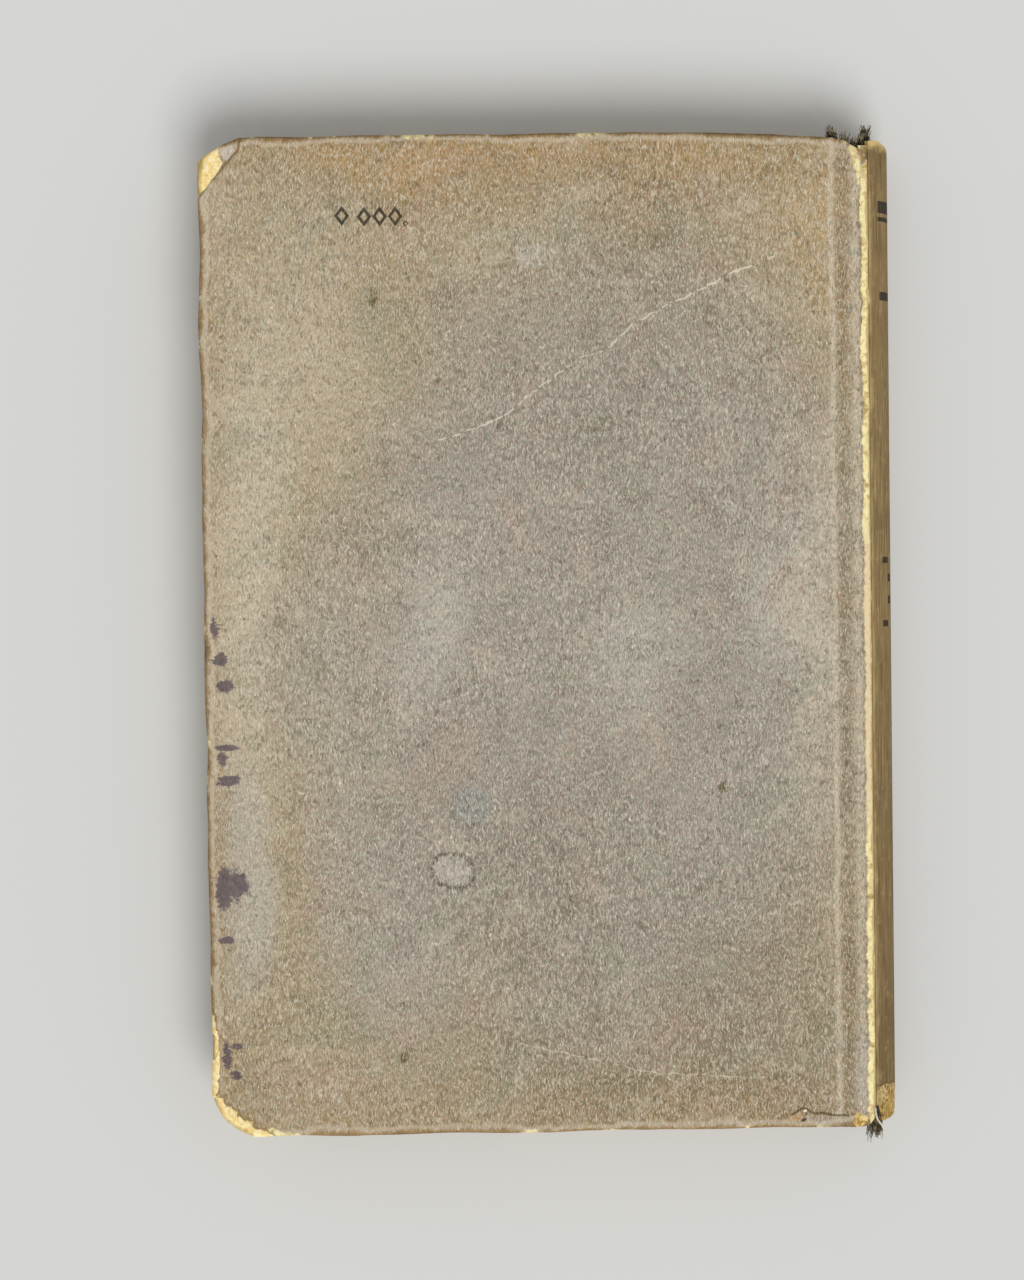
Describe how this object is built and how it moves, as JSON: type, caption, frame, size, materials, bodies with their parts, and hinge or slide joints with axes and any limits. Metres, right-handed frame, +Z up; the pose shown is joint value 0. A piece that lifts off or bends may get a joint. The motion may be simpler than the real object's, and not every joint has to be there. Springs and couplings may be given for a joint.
{
  "type": "hardback book",
  "caption": "Old sewn book in a hard case covered in fibrous paper, with a rounded hollow spine, rubbed corners and covers that swing open.",
  "frame": {"origin": "middle of the underside, which is the front cover's outer face", "axes": "+X from the fore edge to the spine, +Y from the tail to the head, +Z up out of the back cover"},
  "size_m": [0.1436, 0.207, 0.018],
  "materials": {
    "leaves": "aged uncoated book paper, trimmed edges toned brown",
    "endpaper": "aged plain endpaper",
    "thread": "undyed linen thread",
    "lining_cloth": "coarse dark open-weave cloth, frayed at its ends",
    "band_cloth": "cotton band, soiled",
    "board": "yellow strawboard",
    "cover_paper": "fibrous grey-brown covering paper, rubbed and stained",
    "spine_paper": "the same paper, less faded, brown"
  },
  "bodies": {
    "book_block": {"page_block": "leaves", "front_flyleaf": "endpaper", "back_flyleaf": "endpaper", "sewing_thread": "thread", "spine_lining_cloth": "lining_cloth", "head_band": "band_cloth", "tail_band": "band_cloth", "spine_inlay": "board", "spine_cover_paper": "spine_paper"},
    "front_cover": {"front_board": "board", "front_cover_paper": "cover_paper", "front_pastedown": "endpaper", "front_lining_flange": "lining_cloth"},
    "back_cover": {"back_board": "board", "back_cover_paper": "cover_paper", "back_pastedown": "endpaper", "back_lining_flange": "lining_cloth"}
  },
  "joints": [
    {"name": "front_cover_hinge", "type": "hinge", "parent": "book_block", "child": "front_cover", "pos_m": [0.06669, 0, 0.0005], "axis": [0, -1, 0], "range_deg": [0, 180]},
    {"name": "back_cover_hinge", "type": "hinge", "parent": "book_block", "child": "back_cover", "pos_m": [0.06669, 0, 0.0175], "axis": [0, 1, 0], "range_deg": [0, 180]}
  ]
}
